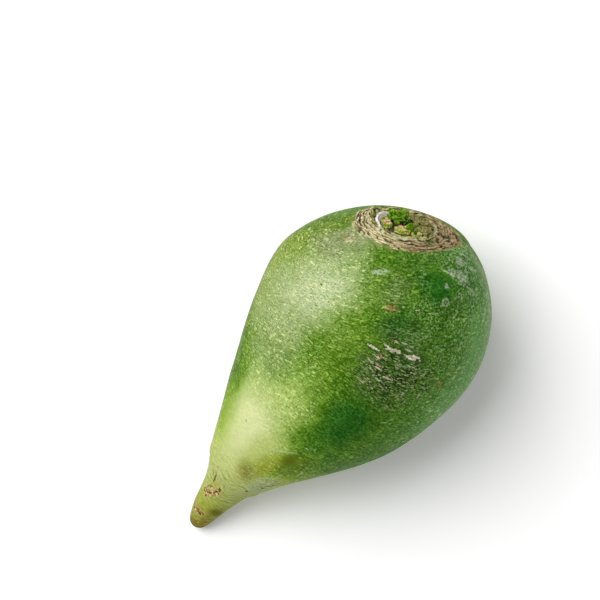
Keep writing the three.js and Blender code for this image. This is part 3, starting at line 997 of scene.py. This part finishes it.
def makeSheathMaterial():
    material, tree, _ = newMaterial("dry_sheath", 0.6, 0.2)
    place = readLayer(tree, "sheetPlace", "Vector")
    streaks = addNoise(tree, place, 0.9, 3, 0.6)
    colour = addMix(tree, addStep(tree, streaks, 0.32, 0.58), paint("cfccd2"), paint("fbfaf8"))
    specks = addNoise(tree, place, 2.5, 2, 0.5)
    colour = dabOn(tree, colour, specks, (0.62, 0.72, 0.0, 0.7), "8d7a55")
    return finishMaterial(material, colour, streaks, 0.2)


sheathPiece = makeSheath()
finishPiece(sheathPiece, makeSheathMaterial(), "papery_sheath")
print("papery sheath: done")


# Young leaves: foot x and y, way it faces in degrees, lean, curl, length, width, ruffle,
# and tone from 0 deep to 1 bright
youngLeaves = {
    "young_leaf_1": (4.4, -1.8, 20, 22, 30, 4.6, 3.2, 0.8, 0.6),
    "young_leaf_2": (-2.2, 5.8, 96, 12, 6, 5.8, 3.0, 0.12, 1.0),
    "young_leaf_3": (-4.6, 6.0, 120, 16, 10, 4.0, 1.6, 0.15, 0.8),
    "young_leaf_4": (-0.6, -2.2, 150, 16, 36, 4.6, 3.0, 0.8, 0.3),
    "young_leaf_5": (1.0, -5.4, 262, 22, 30, 5.4, 3.4, 0.9, 0.7),
    "young_leaf_6": (3.8, -4.8, 318, 24, 34, 5.0, 3.4, 0.9, 0.8),
    "bud_leaf_1": (2.4, -0.5, 60, 6, 34, 5.0, 3.2, 0.9, 0.9),
    "bud_leaf_2": (0.8, -3.3, 200, 4, 40, 5.4, 3.2, 0.9, 0.5),
    "bud_leaf_3": (3.0, -2.9, 330, 8, 30, 5.6, 3.4, 0.9, 1.0),
}


def makeYoungLeaf(name, seed):
    footX, footY, facing, lean, curl, length, width, ruffle, bright = youngLeaves[name]
    startClean()
    bpy.ops.mesh.primitive_grid_add(x_subdivisions=16, y_subdivisions=22, size=2)
    piece = bpy.context.object
    piece.name = name + "_blade"
    unit = getPoints(piece.data)
    across, share = unit[:, 0], (unit[:, 1] + 1) / 2
    curly = smoothStep(0.2, 0.6, ruffle)
    stem = np.linspace(0, 1, 60)
    tilt = np.radians(lean + curl * stem**1.5)
    stemOut = np.concatenate([[0], np.cumsum(np.sin(tilt[:-1]))]) * length / 60
    stemUp = np.concatenate([[0], np.cumsum(np.cos(tilt[:-1]))]) * length / 60
    out, up = np.interp(share, stem, stemOut), np.interp(share, stem, stemUp)
    bendHere = np.interp(share, stem, tilt)
    plain = 0.35 + 0.65 * np.sin(np.pi * np.clip(share, 0, 1) ** 0.9)
    crowned = smoothStep(-0.15, 0.55, share) * np.sqrt(np.clip(1.02 - share**4, 0, 1))
    half = width / 2 * (plain * (1 - curly) + crowned * curly)
    lobes = 1 + curly * 0.30 * np.sin(2 * np.pi * (3.2 * share + 0.17 * seed) + 1.5 * np.sign(across))
    side = across * half * lobes
    cup = -0.32 * half * across**2 * (1 - 0.6 * curly)
    wave = ruffle * (0.35 + 0.65 * np.abs(across)) * smoothStep(0.15, 0.5, share)
    spots = np.column_stack([side, up, np.full_like(side, 3.0 * seed)])
    ripple = 0.55 * np.sin(2 * np.pi * 2.6 * share + 2.2 * across + seed)
    lift = cup + wave * (ripple + 1.1 * noiseAt(spots, 1.1, seed, 3))
    side = side + 0.5 * wave * noiseAt(spots, 0.9, seed + 50, 2)
    up = up + 0.6 * wave * noiseAt(spots, 0.9, seed + 70, 2)
    out, up = out + lift * np.cos(bendHere), up - lift * np.sin(bendHere)
    turn = math.radians(facing)
    x = footX + out * math.cos(turn) - side * math.sin(turn)
    y = footY + out * math.sin(turn) + side * math.cos(turn)
    setPoints(piece.data, np.column_stack([x, y, 0.8 + up]))
    addValues(piece.data, "bright", np.full(len(unit), bright))
    addValues(piece.data, "leafTip", share * (0.6 + 0.4 * np.abs(across)))
    addVectors(piece.data, "leafPlace", np.column_stack([side + 7 * seed, length * share, lift]))
    applyModifier(piece, "SOLIDIFY", thickness=0.3, offset=0)
    applyModifier(piece, "SUBSURF", levels=1, render_levels=1)
    return piece


def makeLeafMaterial():
    material, tree, _ = newMaterial("young_leaf", 0.5, 0.12)
    place = readLayer(tree, "leafPlace", "Vector")
    bright = readLayer(tree, "bright")
    tip = readLayer(tree, "leafTip")
    blotch = addNoise(tree, place, 0.9, 3, 0.6)
    colour = addMix(tree, bright, paint("2f6004"), paint("6aa608"))
    # each leaf darkens towards its foot, as painted shade deep in the tuft
    colour = dabOn(tree, colour, tip, (0.15, 0.85, 0.7, 0.0), "1d3806")
    colour = dabOn(tree, colour, blotch, (0.42, 0.64, 0.0, 0.6), "9acc2e")
    colour = dabOn(tree, colour, blotch, (0.46, 0.34, 0.0, 0.6), "24470a")
    veins = addNoise(tree, place, 2.4, 2, 0.5)
    return finishMaterial(material, colour, addSum(tree, veins, blotch), 0.2)


leafMaterial = makeLeafMaterial()
for seed, name in enumerate(youngLeaves):
    piece = makeYoungLeaf(name, seed + 1)
    finishPiece(piece, leafMaterial, name)
print("young leaves:", len(youngLeaves))


camera = {
    "place": (18.6, 25.4, 690),
    "turn": -48.28,
    "lens": 100.6,
}
lamp = {"place": (-69, 2312, 3503), "size": 2830, "power": 167, "aim": (0, 0, 40)}
skyStrength = 0.27
floorLook = {
    "fades": (0.2, 1.2),  # metres from the middle
    "glow": (0.15, 0.6),
}


def makeCamera():
    data = bpy.data.cameras.new("camera")
    data.lens = camera["lens"]
    data.sensor_width = 36
    seat = bpy.data.objects.new("camera", data)
    seat.location = Vector(camera["place"]) * mm
    seat.rotation_euler = (0, 0, math.radians(camera["turn"]))
    bpy.context.scene.collection.objects.link(seat)
    bpy.context.scene.camera = seat


def makeFloor():
    startClean()
    bpy.ops.mesh.primitive_plane_add(size=6, location=(0, 0, 0))
    floor = bpy.context.object
    floor.name = "floor"
    material, tree, shader = newMaterial("white_floor", 0.9, 0.0)
    shader.inputs["Base Color"].default_value = (0.97, 0.97, 0.97, 1)
    path = addNode(tree, "LightPath")
    seen = addMath(tree, "MAXIMUM", path.outputs["Is Camera Ray"], path.outputs["Is Glossy Ray"])
    spot = addNode(tree, "TexCoord").outputs["Object"]
    away = addNode(tree, "VectorMath", {0: spot}, operation="LENGTH").outputs["Value"]
    glow = addStep(tree, away, *floorLook["fades"], *floorLook["glow"])  # the lamp grows weak further out
    shader.inputs["Emission Color"].default_value = (1, 1, 1, 1)
    tree.links.new(addProduct(tree, seen, glow), shader.inputs["Emission Strength"])
    floor.data.materials.append(material)


def makeLights():
    data = bpy.data.lights.new("window", "AREA")
    data.shape = "SQUARE"
    data.size = lamp["size"] * mm
    data.energy = lamp["power"]
    seat = bpy.data.objects.new("window", data)
    seat.location = Vector(lamp["place"]) * mm
    aim = Vector(lamp["aim"]) * mm - seat.location
    seat.rotation_euler = aim.to_track_quat("-Z", "Y").to_euler()
    bpy.context.scene.collection.objects.link(seat)
    world = bpy.data.worlds.new("room")
    world.use_nodes = True
    sky = world.node_tree.nodes["Background"]
    sky.inputs["Color"].default_value = (1, 1, 1, 1)
    # the camera sees white where the floor ends
    seen = addNode(world.node_tree, "LightPath").outputs["Is Camera Ray"]
    strength = addMath(world.node_tree, "MULTIPLY_ADD", seen, 1 - skyStrength, skyStrength)
    world.node_tree.links.new(strength, sky.inputs["Strength"])
    bpy.context.scene.world = world


makeCamera()
makeFloor()
makeLights()
bpy.context.scene.view_settings.view_transform = "Standard"
